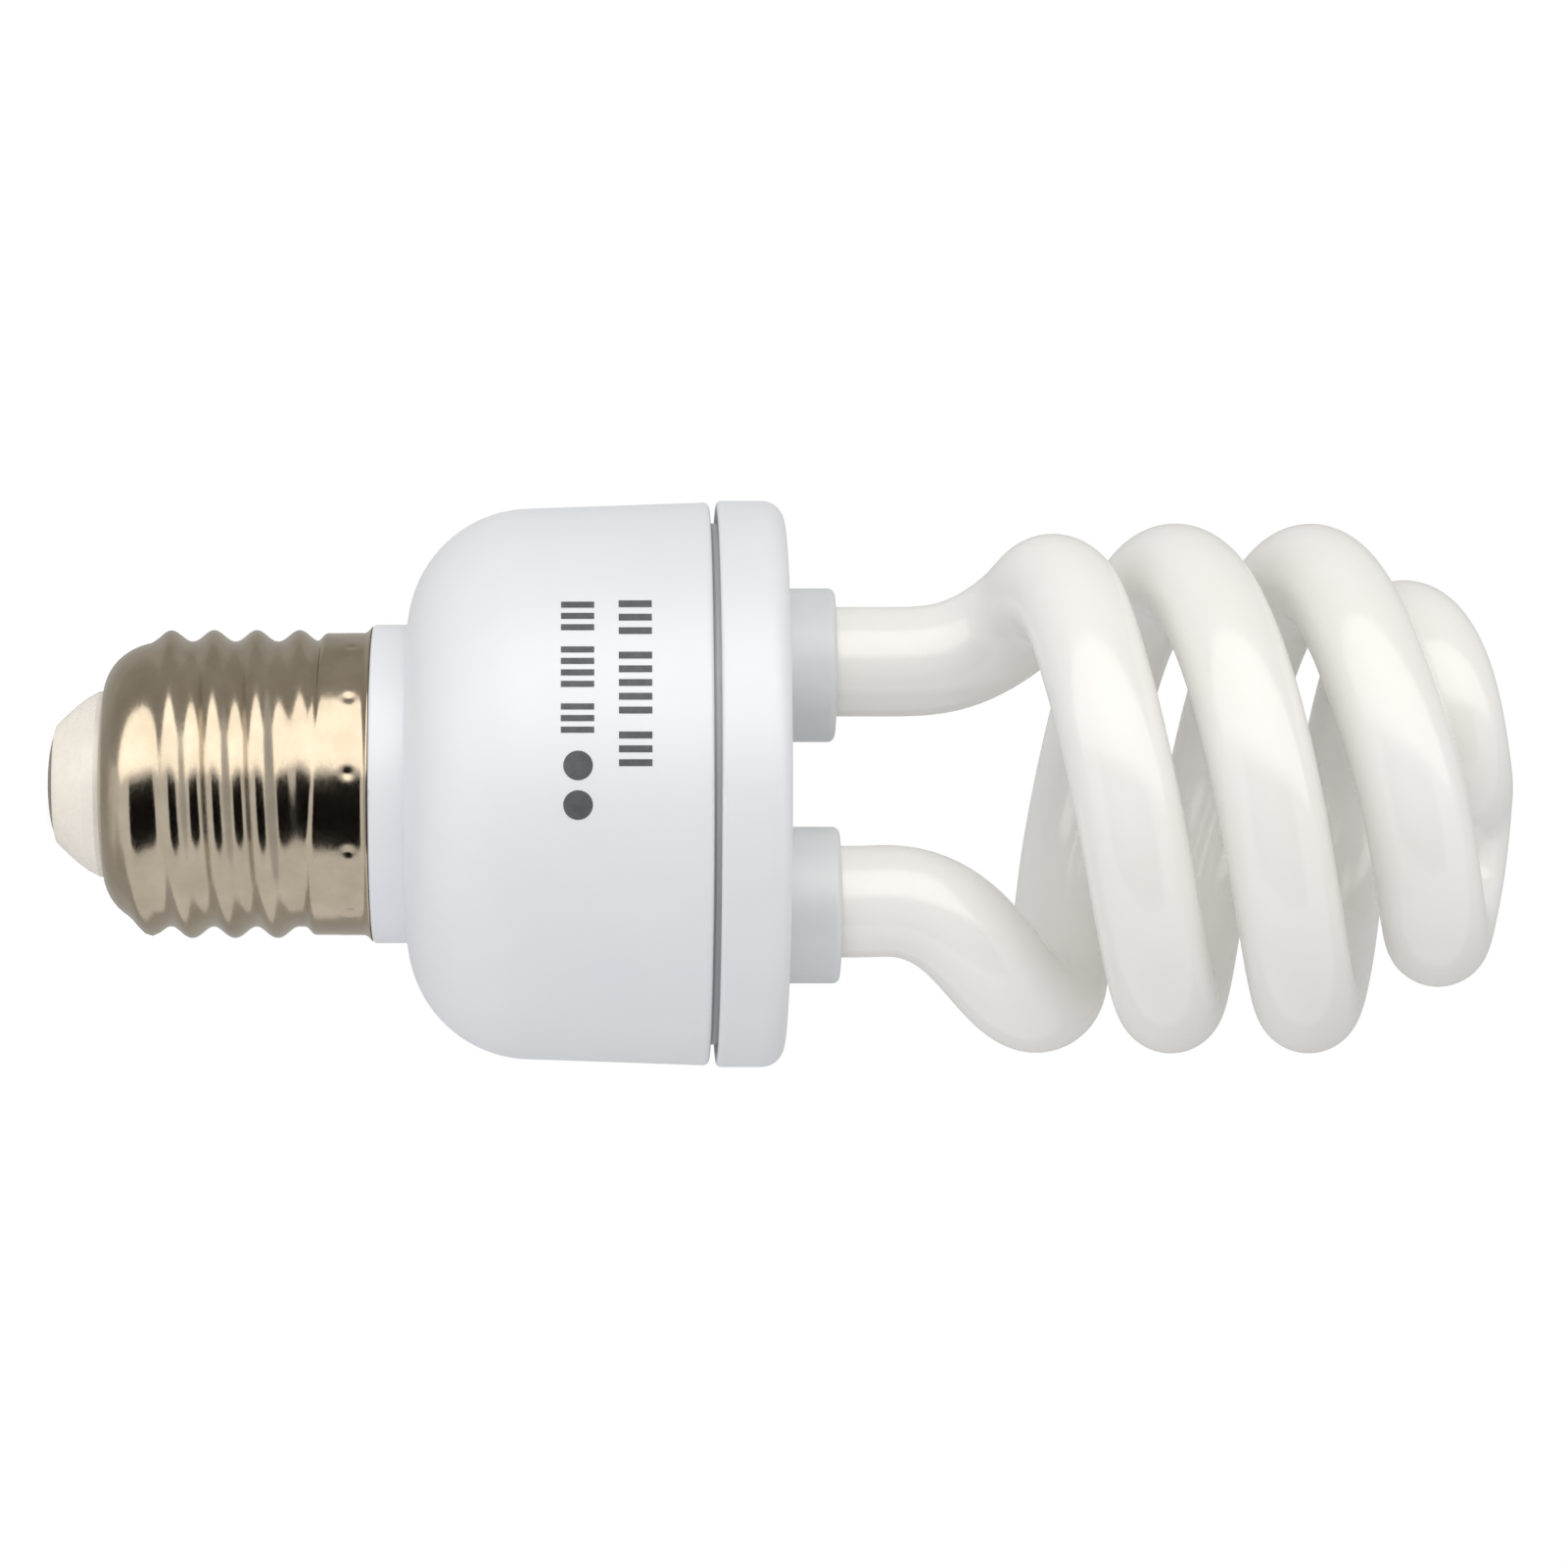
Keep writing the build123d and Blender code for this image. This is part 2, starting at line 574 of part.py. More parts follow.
# Posts and wires between the board, the tube's ends and the cap
post_spots = [(-15.0, 10.0), (-7.0, 0.6), (15.0, -10.0), (7.0, 0.9)]
wire_starts = [(side * (leg_x + dx), -side * (leg_y + dy)) for side in (-1, 1) for dx, dy in ((1.2, 1.2), (-1.2, -1.2))]
post_w = 0.9
post_top = board_top + 2.55
wire_z = leg_foot_z - 1.1
with BuildPart() as wire_posts:
    for x, y in post_spots:
        add(block(x, y, board_top, post_w, post_w, post_top - board_top))
save(wire_posts, "wire_posts")

with BuildPart() as tube_lead_wires:
    for start, post in zip(wire_starts, post_spots):
        add(wire([(*start, leg_foot_z), (*start, wire_z), (*post, wire_z), (*post, post_top)], 0.25, 0.5))
save(tube_lead_wires, "tube_lead_wires")

with BuildPart() as contact_lead:
    add(wire([(*contact_lead_at, pin_top), (*contact_lead_at, rivet_z + 8), (0, 0, rivet_z + 3.5),
              (0, 0, contact_h + contact_floor)], lead_r, 1.5))
save(contact_lead, "contact_lead")

clamp_at = round_the_axis(skirt_in_r - 0.27, lead_angle)
with BuildPart() as shell_lead:
    add(wire([(*shell_lead_at, pin_top), (*shell_lead_at, spigot_z - 0.5), (*clamp_at, spigot_z - 0.5),
              (*clamp_at, spigot_z + 1.9)], 0.25, 0.45))
save(shell_lead, "shell_lead")
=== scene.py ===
from math import atan2, ceil, cos, exp, hypot, pi, sin, sqrt

import bmesh
import bpy
from mathutils import Matrix, Vector


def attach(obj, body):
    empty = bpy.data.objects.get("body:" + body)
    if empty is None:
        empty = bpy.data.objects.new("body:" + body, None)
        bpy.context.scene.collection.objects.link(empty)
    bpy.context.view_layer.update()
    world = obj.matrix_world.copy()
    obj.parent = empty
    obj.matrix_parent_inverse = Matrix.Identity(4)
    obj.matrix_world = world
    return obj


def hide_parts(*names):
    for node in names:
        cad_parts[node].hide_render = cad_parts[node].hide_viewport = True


# Spiral ultraviolet lamp, dressed for a studio picture. Z runs along the lamp from the contact's
# tip. Sizes in the settings are millimetres, and mm turns them to the frame's metres.
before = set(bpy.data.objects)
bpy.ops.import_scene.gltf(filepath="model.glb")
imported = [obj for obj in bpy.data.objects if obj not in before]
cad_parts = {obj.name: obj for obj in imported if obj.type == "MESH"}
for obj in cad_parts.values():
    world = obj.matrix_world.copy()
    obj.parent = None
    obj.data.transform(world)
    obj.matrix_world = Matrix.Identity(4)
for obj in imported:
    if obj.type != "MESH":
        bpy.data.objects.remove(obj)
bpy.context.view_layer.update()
print("frame loaded,", len(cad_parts), "nodes")

mm = 0.001


def toLinear(hexText):
    # One sRGB hex value as the linear colour that a shader takes
    parts = [int(hexText[i:i + 2], 16) / 255 for i in (1, 3, 5)]
    return [p / 12.92 if p <= 0.04045 else ((p + 0.055) / 1.055) ** 2.4 for p in parts] + [1.0]


def addNode(tree, kind, inputs, output=None, settings=None):
    # One node, or one of its outputs; an input is a socket to link, hex text or a plain value
    node = tree.nodes.new(kind)
    for key, value in (settings or {}).items():
        setattr(node, key, value)
    for key, value in inputs.items():
        if isinstance(value, bpy.types.NodeSocket):
            tree.links.new(value, node.inputs[key])
        else:
            node.inputs[key].default_value = toLinear(value) if isinstance(value, str) else value
    return node if output is None else node.outputs[output]


def emptyMaterial(name):
    material = bpy.data.materials.new(name)
    material.use_nodes = True
    material.node_tree.nodes.clear()
    return material, material.node_tree


# Nearly all of a noise lies between low and high; the details are those of blotches and grain
noise = {"low": 0.35, "high": 0.65, "blotchDetail": 3.0, "grainDetail": 4.0}


def newSurface(name, look, overlay=None):
    # Two close colours in blotches, a roughness range and a fine relief. The overlay gives a
    # third colour and ramps as (socket, start, end, value before, value after): the colour
    # shows where all of them are 1.
    material, tree = emptyMaterial(name)
    place = addNode(tree, "ShaderNodeTexCoord", {}, "Object")
    blotch = addNode(tree, "ShaderNodeTexNoise", {
        "Vector": place, "Scale": 1 / (look["blotchMm"] * mm), "Detail": noise["blotchDetail"]}, 0)
    share = addNode(tree, "ShaderNodeMapRange", {
        "Value": blotch, "From Min": noise["low"], "From Max": noise["high"]}, 0)
    colour = addNode(tree, "ShaderNodeMix", {0: share, 6: look["colour"], 7: look["second"]}, 2,
                     {"data_type": "RGBA"})
    if overlay:
        third, ramps = overlay(tree, place, look)
        here = 1.0
        for socket, start, end, before, after in ramps:
            ramp = addNode(tree, "ShaderNodeMapRange", {
                "Value": socket, "From Min": start, "From Max": end,
                "To Min": before, "To Max": after}, 0)
            here = addNode(tree, "ShaderNodeMath", {0: here, 1: ramp}, 0, {"operation": "MULTIPLY"})
        colour = addNode(tree, "ShaderNodeMix", {0: here, 6: colour, 7: third}, 2,
                         {"data_type": "RGBA"})
    stretched = addNode(tree, "ShaderNodeMapping", {
        "Vector": place, "Scale": look.get("grainStretch", (1.0, 1.0, 1.0))}, 0)
    grain = addNode(tree, "ShaderNodeTexNoise", {
        "Vector": stretched, "Scale": 1 / (look["grainMm"] * mm),
        "Detail": look.get("grainDetail", noise["grainDetail"])}, 0)
    low, high = look["roughness"]
    rough = addNode(tree, "ShaderNodeMapRange", {
        "Value": grain, "From Min": noise["low"], "From Max": noise["high"],
        "To Min": low, "To Max": high}, 0)
    relief = addNode(tree, "ShaderNodeBump", {
        "Height": grain, "Strength": look["bump"], "Distance": look["reliefMm"] * mm}, 0)
    shader = addNode(tree, "ShaderNodeBsdfPrincipled", {
        **look.get("constants", {}), "Base Color": colour, "Roughness": rough, "Normal": relief}, 0)
    addNode(tree, "ShaderNodeOutputMaterial", {"Surface": shader})
    return material


# Polybutylene terephthalate, injection moulded and spark textured: white with a soft broad
# sheen. The seam's values paint shade, as a darker grey, into the groove between housing and cover.
mouldedPbt = {
    "colour": "#EAEDF1", "second": "#E7EAEF", "blotchMm": 14, "grainMm": 0.35,
    "roughness": (0.36, 0.46), "bump": 0.12, "reliefMm": 0.02, "constants": {"IOR": 1.5},
    "seamLowMm": 55.95, "seamHighMm": 56.3, "seamEdgeMm": 0.05,
    "seamRadiusMm": 23.55, "seamRadiusEdgeMm": 0.2, "seamShadeColour": "#C6C8CB",
}
# Silicone-like collar moulding: cooler, and light soaks a little way into it
mouldedCollar = {
    "colour": "#DDE0E2", "second": "#D7DBDD", "blotchMm": 5, "grainMm": 0.3,
    "roughness": (0.38, 0.5), "bump": 0.1, "reliefMm": 0.02,
    "constants": {"IOR": 1.48, "Subsurface Weight": 0.25, "Subsurface Radius": (1.0, 1.0, 1.0),
                  "Subsurface Scale": 1.2 * mm},
}
# Glass tube with a white powder coat inside: opaque milk white under a clear glossy skin
coatedGlass = {
    "colour": "#FAF9F6", "second": "#F8F6F2", "blotchMm": 11, "grainMm": 1.6,
    "roughness": (0.14, 0.2), "bump": 0.02, "reliefMm": 0.05, "constants": {"IOR": 1.52},
}
# Opal glass insulator, pressed into the cap: ivory white and slightly glossy
opalGlass = {
    "colour": "#F8F4EC", "second": "#F5F0E7", "blotchMm": 6, "grainMm": 0.8,
    "roughness": (0.26, 0.3), "bump": 0.01, "reliefMm": 0.02, "constants": {"IOR": 1.5},
}
# Tinned brass contact with a solder skin: grey, dull and slightly lumpy
tinnedContact = {
    "colour": "#A9A59C", "second": "#8F8A80", "blotchMm": 1.6, "grainMm": 0.5,
    "roughness": (0.25, 0.42), "bump": 0.25, "reliefMm": 0.05, "constants": {"Metallic": 1.0},
}
# Lamp cement: chalky, grainy and matt
bakedCement = {
    "colour": "#D9D5CB", "second": "#C6C1B4", "blotchMm": 0.9, "grainMm": 0.25,
    "roughness": (0.85, 0.95), "bump": 0.5, "reliefMm": 0.08,
}
# Nickel plate on rolled brass sheet: warm grey mirror, whose faint rolling marks run round the
# cap. Dark specks are where the plate wore through at the mouth's edge.
rolledNickel = {
    "colour": "#B6AA98", "second": "#AB9F8D", "blotchMm": 3.0, "grainMm": 0.14,
    "grainStretch": (0.4, 0.4, 1.0), "grainDetail": 2.0,
    "roughness": (0.15, 0.22), "bump": 0.16, "reliefMm": 0.02, "constants": {"Metallic": 1.0},
    "speck": "#3A3029", "speckMm": 0.9, "speckReach": 0.16, "speckCore": 0.6,
    "speckLowMm": 4.6, "speckHighMm": 5.6,
}
# Ink pressed on by a pad: flat and matt
padInk = {
    "colour": "#4A4C50", "second": "#55575B", "blotchMm": 0.8, "grainMm": 0.15,
    "roughness": (0.5, 0.7), "bump": 0.15, "reliefMm": 0.01,
}
# Inside the housing, seen only when it is opened
innerLooks = {
    "board": {"colour": "#B99A63", "second": "#AD8D55", "blotchMm": 6, "grainMm": 0.3,
              "roughness": (0.5, 0.65), "bump": 0.15, "reliefMm": 0.03},
    "capacitor_sleeve": {"colour": "#23262E", "second": "#1C1F26", "blotchMm": 5, "grainMm": 0.6,
                         "roughness": (0.25, 0.38), "bump": 0.1, "reliefMm": 0.04},
    "ferrite": {"colour": "#3B3936", "second": "#32302E", "blotchMm": 1.5, "grainMm": 0.2,
                "roughness": (0.55, 0.75), "bump": 0.3, "reliefMm": 0.04},
    "bobbin_plastic": {"colour": "#D8CFB8", "second": "#CFC5AC", "blotchMm": 4, "grainMm": 0.3,
                       "roughness": (0.4, 0.55), "bump": 0.1, "reliefMm": 0.02},
    "copper": {"colour": "#B5713F", "second": "#A8622F", "blotchMm": 1.2, "grainMm": 0.3,
               "roughness": (0.22, 0.38), "bump": 0.3, "reliefMm": 0.05,
               "constants": {"Metallic": 1.0}},
    "black_plastic": {"colour": "#1D1D1F", "second": "#171719", "blotchMm": 3, "grainMm": 0.3,
                      "roughness": (0.4, 0.55), "bump": 0.15, "reliefMm": 0.02},
    "film_red": {"colour": "#9C2F22", "second": "#8C281C", "blotchMm": 3, "grainMm": 0.6,
                 "roughness": (0.2, 0.32), "bump": 0.12, "reliefMm": 0.05},
    "resistor_body": {"colour": "#C8B48A", "second": "#BCA679", "blotchMm": 1.5, "grainMm": 0.4,
                      "roughness": (0.35, 0.5), "bump": 0.15, "reliefMm": 0.03},
    "tinned_metal": {"colour": "#BFBEBA", "second": "#ADABA6", "blotchMm": 1.5, "grainMm": 0.3,
                     "roughness": (0.2, 0.35), "bump": 0.1, "reliefMm": 0.02,
                     "constants": {"Metallic": 1.0}},
}


# Painted shade: the seam's grey colour in the groove, between the two heights and inside the
# cover's rim
def seamShade(tree, place, look):
    split = addNode(tree, "ShaderNodeSeparateXYZ", {0: place})
    x, y, z = split.outputs
    flat = addNode(tree, "ShaderNodeCombineXYZ", {0: x, 1: y}, 0)
    out = addNode(tree, "ShaderNodeVectorMath", {0: flat}, "Value", {"operation": "LENGTH"})
    low, high, radius = (look[key] * mm for key in ("seamLowMm", "seamHighMm", "seamRadiusMm"))
    edge = look["seamEdgeMm"] * mm
    return look["seamShadeColour"], [
        (z, low, low + edge, 0.0, 1.0), (z, high - edge, high, 1.0, 0.0),
        (out, radius, radius + look["seamRadiusEdgeMm"] * mm, 1.0, 0.0)]


def wornSpecks(tree, place, look):
    cells = addNode(tree, "ShaderNodeTexVoronoi", {
        "Vector": place, "Scale": 1 / (look["speckMm"] * mm)}, "Distance")
    height = addNode(tree, "ShaderNodeSeparateXYZ", {0: place}, 2)
    reach = look["speckReach"]
    return look["speck"], [
        (cells, reach * look["speckCore"], reach, 1.0, 0.0),
        (height, look["speckLowMm"] * mm, look["speckHighMm"] * mm, 1.0, 0.0)]


surfaces = {
    "housing_plastic": newSurface("mouldedPbt", mouldedPbt, seamShade),
    "collar_plastic": newSurface("mouldedCollar", mouldedCollar),
    "coated_glass": newSurface("coatedGlass", coatedGlass),
    "insulator": newSurface("opalGlass", opalGlass),
    "contact_metal": newSurface("tinnedContact", tinnedContact),
    "cement": newSurface("bakedCement", bakedCement),
    "cap_metal": newSurface("rolledNickel", rolledNickel, wornSpecks),
}
for slotName, look in innerLooks.items():
    surfaces[slotName] = newSurface("inner_" + slotName, look)

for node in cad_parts.values():
    for held in node.material_slots:
        found = [s for s in surfaces if held.material and held.material.name.startswith(s)]
        if found:
            held.material = surfaces[max(found, key=len)]
print("materials assigned")


def addObject(name, data):
    added = bpy.data.objects.new(name, data)
    bpy.context.collection.objects.link(added)
    return added


def finishedMesh(name, mesh, surface):
    data = bpy.data.meshes.new(name)
    mesh.to_mesh(data)
    mesh.free()
    data.materials.append(surface)
    return data


def addPiece(name, mesh, surface, node=None, smooth=True):
    # The finished mesh as an object that rides the lamp's body and stands in for its CAD node
    weldMm = 0.0005
    bmesh.ops.remove_doubles(mesh, verts=mesh.verts, dist=weldMm * mm)
    bmesh.ops.recalc_face_normals(mesh, faces=mesh.faces)
    data = finishedMesh(name, mesh, surface)
    if smooth:
        data.shade_smooth()
    piece = addObject(name, data)
    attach(piece, "root")
    if node:
        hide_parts(node)
    print(name, "made,", len(data.polygons), "faces")


def ringMesh(around, along, spot):
    # A grid rolled into a ring; spot gives each vertex its place from its share of the turn
    # and its row
    mesh = bmesh.new()
    bmesh.ops.create_grid(mesh, x_segments=around, y_segments=along, size=1.0)
    for vert in mesh.verts:
        vert.co = spot((vert.co.x + 1) / 2, round((vert.co.y + 1) / 2 * along))
    return mesh


def ease(value, start, end):
    # 0 before start, 1 after end, and a smooth rise between them
    share = min(max((value - start) / (end - start), 0.0), 1.0)
    return share * share * (3 - 2 * share)


def evenly(start, end, step):
    # Numbers from start to end, both included, about a step apart
    count = max(1, ceil(abs(end - start) / step))
    return [start + (end - start) * i / count for i in range(count + 1)]


# Screw cap: the rolled thread fades in below the crown and out under the skirt, which has a
# ring of punched dents and a flared lip. Fades are counted in turns of the thread.
cap = {
    "around": 360, "rootR": 12.13, "sheet": 0.3, "topZ": 27.5,
    "mouthR": 7.93, "crownR": 4.2, "crownH": 5.1, "crownZ": 9.9,
    "firstCrestZ": 4.951, "pitch": 3.629, "threadDepth": 0.97, "threadHalf": 1.78,
    "fadeIn": (0.55, 1.05), "fadeOut": (4.5, 5.0), "turns": 5,
    "skirtR": 12.83, "skirtZ": 22.75, "skirtSwing": 0.5, "skirtHalf": 0.45, "blend": 4,
    "flareZ": 26.75, "flare": 0.57,
    "dents": 12, "dentStart": 26.1, "dentZ": 25.9, "dentDepth": 0.09, "dentHalf": 0.28,
    "bulge": 0.02, "bulgeFrom": 0.9, "bulgeHalf": 0.4,
    "threadStep": 0.24, "skirtStep": 0.16, "innerStep": 0.4, "arcSteps": 14,
}


def threadLift(turn, z):
    # How far the thread or the skirt stands out of the root at this share of a turn and height
    lift = 0.0
    for whole in range(cap["turns"] + 1):
        count = whole + turn
        away = abs(z - cap["firstCrestZ"] - cap["pitch"] * count)
        if away < cap["threadHalf"]:
            bell = 0.5 + 0.5 * cos(pi * away / cap["threadHalf"])
            fade = ease(count, *cap["fadeIn"]) * (1 - ease(count, *cap["fadeOut"]))
            lift = max(lift, bell * fade)
    lift *= cap["threadDepth"]
    skirtZ = cap["skirtZ"] - cap["skirtSwing"] * cos(2 * pi * turn)
    rise = ease(z, skirtZ - cap["skirtHalf"], skirtZ + cap["skirtHalf"])
    step = (cap["skirtR"] - cap["rootR"]) * rise
    return (lift ** cap["blend"] + step ** cap["blend"]) ** (1 / cap["blend"])


def dentLift(turn, z):
    # The nearest punched dent and the soft bulge round it
    spacing = 360 / cap["dents"]
    off = (turn * 360 - cap["dentStart"] + spacing / 2) % spacing - spacing / 2
    away = hypot(off * pi / 180 * cap["skirtR"], z - cap["dentZ"])
    ring = cap["bulge"] * exp(-((away - cap["bulgeFrom"]) / cap["bulgeHalf"]) ** 2)
    return ring - cap["dentDepth"] * exp(-(away / cap["dentHalf"]) ** 2)


def capProfile():
    # The section of the sheet as (radius, height), up the outer wall and down the inner one
    outer, inner = cap["rootR"], cap["rootR"] - cap["sheet"]
    arc = [pi / 2 * (1 - i / cap["arcSteps"]) for i in range(cap["arcSteps"])]

    def crown(angles, inset):
        across, up = cap["crownR"] - inset, cap["crownH"] - inset
        return [(cap["mouthR"] + across * cos(a), cap["crownZ"] - up * sin(a)) for a in angles]

    crownOut, crownIn = crown(arc, 0.0), crown(reversed(arc), cap["sheet"])
    skirtFoot = cap["skirtZ"] + cap["skirtSwing"] + cap["skirtHalf"]
    rise = (evenly(cap["crownZ"], skirtFoot, cap["threadStep"])[:-1]
            + evenly(skirtFoot, cap["topZ"], cap["skirtStep"]))
    fall = evenly(cap["topZ"], cap["crownZ"], cap["innerStep"])
    walls = [(outer, z) for z in rise] + [(inner, z) for z in fall]
    return crownOut + walls + crownIn + crownOut[:1]


def capSpot(section):
    def spot(turn, row):
        radius, z = section[row]
        flared = max(0.0, (z - cap["flareZ"]) / (cap["topZ"] - cap["flareZ"]))
        radius += threadLift(turn % 1.0, z) + dentLift(turn, z)
        radius += cap["flare"] * flared ** 2
        return Vector((radius * cos(2 * pi * turn), radius * sin(2 * pi * turn), z)) * mm
    return spot


section = capProfile()
addPiece("screwCap", ringMesh(cap["around"], len(section) - 1, capSpot(section)),
         surfaces["cap_metal"], "screw_shell")

# Double coil: two strands rise side by side from the legs and cross at the tip
tube = {
    "sides": 56, "step": 0.8, "footZ": 57.6, "footRound": 1.8, "footSteps": 6, "upright": 0.9,
    "legKnots": 5, "bendZ": 72.0, "legX": 10.2, "legY": 4.5, "legR": 4.7, "tubeR": 4.35,
    "legShift": -0.3, "coilShift": 0.38, "shiftFrom": 72.0, "shiftTo": 89.0,
    "coilR": 18.17, "pitch": 23.376, "midZ": 95.445, "start": 0.45, "coilKnots": 12,
    "crossZ": 120.15, "relaxKnots": 7, "relaxRounds": 24, "relaxKeep": 0.5,
    # Shares of the way from the leg's top to the coil's start: turn, radius, height
    "rearBend": [
        (0.025, 0.047, 0.265), (0.093, 0.27, 0.499), (0.202, 0.564, 0.659), (0.329, 0.839, 0.739),
        (0.461, 0.955, 0.805), (0.595, 0.963, 0.857), (0.73, 0.959, 0.901), (0.866, 0.977, 0.949)],
    "frontBend": [
        (0.022, 0.153, 0.215), (0.094, 0.463, 0.402), (0.2, 0.793, 0.554), (0.32, 1.046, 0.706),
        (0.449, 1.098, 0.824), (0.582, 1.041, 0.868), (0.72, 0.996, 0.913), (0.861, 0.998, 0.952)],
    # Half turns, share of the coil's radius, share of the height from coil's end to crossing
    "rearClose": [
        (2.25, 0.953, 0.217), (2.5, 0.898, 0.48), (2.75, 0.813, 0.684), (3.0, 0.672, 0.863),
        (3.126, 0.567, 0.963), (3.252, 0.366, 1.032), (3.367, 0.211, 1.032)],
    "frontClose": [
        (2.25, 1.019, 0.249), (2.5, 0.974, 0.438), (2.75, 0.871, 0.569), (3.0, 0.739, 0.673),
        (3.124, 0.667, 0.753), (3.248, 0.533, 0.836), (3.369, 0.308, 0.911)],
}


def strandKnots(side, bend, close):
    # Knots of one strand from its leg's foot to just before the crossing; side is 1 at the
    # rear and -1 in front
    legTurn, legOut = atan2(-tube["legY"], tube["legX"]), hypot(tube["legX"], tube["legY"])
    start, bendZ, coilR = tube["start"] * pi, tube["bendZ"], tube["coilR"]

    def coilZ(turn):
        return tube["midZ"] + tube["pitch"] * (turn - pi) / (2 * pi)

    legs = evenly(tube["footZ"], bendZ, (bendZ - tube["footZ"]) / tube["legKnots"])
    polar = [(legTurn, legOut, z) for z in legs]
    startZ, endZ, reach = coilZ(start), coilZ(2 * pi), coilR - legOut
    polar += [(legTurn + turn * (start - legTurn), legOut + out * reach,
               bendZ + rise * (startZ - bendZ)) for turn, out, rise in bend]
    turns = [start + (2 * pi - start) * i / tube["coilKnots"] for i in range(tube["coilKnots"] + 1)]
    polar += [(turn, coilR, coilZ(turn)) for turn in turns]
    polar += [(half * pi, out * coilR, endZ + rise * (tube["crossZ"] - endZ))
              for half, out, rise in close]
    knots = []
    for turn, out, z in polar:
        coiled = ease(z, tube["shiftFrom"], tube["shiftTo"])
        shift = tube["legShift"] * (1 - coiled) + tube["coilShift"] * coiled
        knots.append(Vector((-side * out * cos(turn) + shift, -side * out * sin(turn), z)))
    return knots


def smoothLine(knots, first, last, step):
    # A natural curve through the knots, with first and last as its end directions, as (place,
    # direction, knot number) about a step apart
    gaps = [(b - a).length for a, b in zip(knots, knots[1:])]
    slopes = [(b - a) / gap for a, b, gap in zip(knots, knots[1:], gaps)]
    over, rest = [0.0], [first]
    for i in range(1, len(knots) - 1):
        before, after = gaps[i - 1], gaps[i]
        pivot = 2 * (before + after) - after * over[-1]
        bent = (slopes[i - 1] * after + slopes[i] * before) * 3
        rest.append((bent - rest[-1] * after) / pivot)
        over.append(before / pivot)
    speeds = [last]
    for i in range(len(knots) - 2, 0, -1):
        speeds.append(rest[i] - speeds[-1] * over[i])
    speeds = [first] + speeds[::-1]
    line = []
    for i, gap in enumerate(gaps):
        count = ceil(gap / step)
        here, there = knots[i], knots[i + 1]
        leave, arrive = speeds[i] * gap, speeds[i + 1] * gap
        for j in range(count + (i == len(gaps) - 1)):
            u = j / count
            place = (here * (2 * u ** 3 - 3 * u ** 2 + 1) + leave * (u ** 3 - 2 * u ** 2 + u)
                     + there * (3 * u ** 2 - 2 * u ** 3) + arrive * (u ** 3 - u ** 2))
            along = ((there - here) * (6 * u - 6 * u ** 2) + leave * (3 * u ** 2 - 4 * u + 1)
                     + arrive * (3 * u ** 2 - 2 * u))
            line.append((place, along.normalized(), i + u))
    return line


def relaxed(line, middle):
    # Evens out the bends near the middle knot, where the two strands meet
    places = [ring[0] for ring in line]
    near = [i for i in range(1, len(line) - 1) if abs(line[i][2] - middle) < tube["relaxKnots"]]
    keep = tube["relaxKeep"]
    for _ in range(tube["relaxRounds"]):
        before = list(places)
        for i in near:
            places[i] = before[i] * keep + (before[i - 1] + before[i + 1]) * ((1 - keep) / 2)
    for i in near:
        line[i] = (places[i], (places[i + 1] - places[i - 1]).normalized(), line[i][2])
    return line


def tubeRings():
    # Each ring of the tube as its centre, its direction and its radius, with rounded feet
    rear = strandKnots(1, tube["rearBend"], tube["rearClose"])
    front = strandKnots(-1, tube["frontBend"], tube["frontClose"])
    knots = rear + [Vector((tube["coilShift"], 0, tube["crossZ"]))] + front[::-1]
    up = Vector((0, 0, 1))
    line = relaxed(smoothLine(knots, up, -up, tube["step"]), len(rear))
    legEnd, coilStart = tube["legKnots"], tube["legKnots"] + len(tube["rearBend"]) + 1
    rings = []
    for place, along, number in line:
        fromEnd = min(number, len(knots) - 1 - number)
        thinner = (tube["tubeR"] - tube["legR"]) * ease(fromEnd, legEnd, coilStart)
        rings.append((place, along, tube["legR"] + thinner))
    foot, otherFoot, footRound = rings[0][0], rings[-1][0], tube["footRound"]
    footRings = [(foot, up, 0.0)]
    for i in range(tube["footSteps"]):
        angle = pi / 2 * i / tube["footSteps"]
        lift = footRound * (1 - cos(angle))
        footRings.append((foot + up * lift, up, tube["legR"] - footRound * (1 - sin(angle))))
    # The feet's own rings take the place of the upright ones below the rounding
    roundEnd = tube["footZ"] + footRound
    body = [ring for ring in rings if ring[0].z > roundEnd or abs(ring[1].z) < tube["upright"]]
    across = otherFoot - foot
    return footRings + body + [(place + across, -along, radius)
                               for place, along, radius in footRings[::-1]]


def tubeSpot(rings):
    # Carries a cross-section along the line without twist
    sections, side = [], Vector((1, 0, 0))
    for place, along, radius in rings:
        side = (side - along * side.dot(along)).normalized()
        sections.append((place, side, along.cross(side), radius))

    def spot(turn, row):
        place, first, second, radius = sections[row]
        out = first * cos(2 * pi * turn) + second * sin(2 * pi * turn)
        return (place + out * radius) * mm
    return spot


rings = tubeRings()
addPiece("spiralTube", ringMesh(tube["sides"], len(rings) - 1, tubeSpot(rings)),
         surfaces["coated_glass"], "spiral_tube")

# Pad print on the near side, as plain bars and discs with no lettering
padPrint = {
    "sideR": 23.4, "draft": 0.52, "shoulderZ": 41.0, "rimZ": 56.05, "proud": 0.02, "film": 0.06,
    # z from, z to, x from, bar width, gap, and how many bars stand in each group
    "rows": [(43.6, 46.3, -14.9, 0.5, 0.44, (3, 4, 3)), (48.3, 51.0, -15.0, 0.56, 0.56, (3, 5, 3))],
    "groupGap": 0.9, "barCells": (2, 3),
    # z, x, radius
    "discs": [(45.0, -1.5, 1.2), (45.0, 1.7, 1.2)], "discSides": 32,
}


